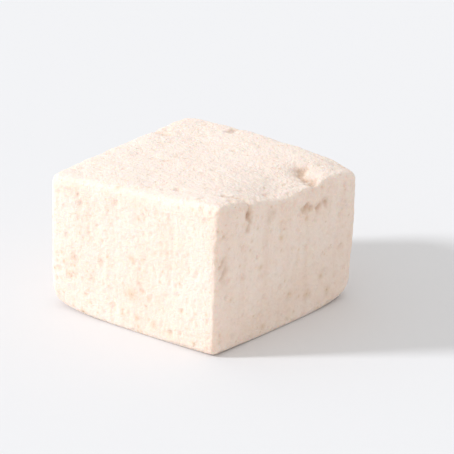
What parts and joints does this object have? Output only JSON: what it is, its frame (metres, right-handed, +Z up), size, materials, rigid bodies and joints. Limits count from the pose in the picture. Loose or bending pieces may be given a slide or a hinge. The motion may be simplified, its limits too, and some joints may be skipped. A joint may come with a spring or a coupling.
{
  "type": "marshmallow",
  "caption": "Square hand-cut vanilla marshmallow: a soft cream block with four cut sides, one of them leaning out a little, an uneven top that sags at one edge, small dents and a flat underside.",
  "frame": {"origin": "centre of the block's box, on the flat underside", "axes": "+Z up through the thickness; +X and -Y out of the two cut sides that meet at the tallest corner"},
  "size_m": [0.0396, 0.0386, 0.027],
  "materials": {
    "marshmallow": "powdery matte sugar foam, warm cream with fine light-brown vanilla specks"
  },
  "bodies": {
    "root": {"marshmallow": "marshmallow"}
  },
  "joints": []
}
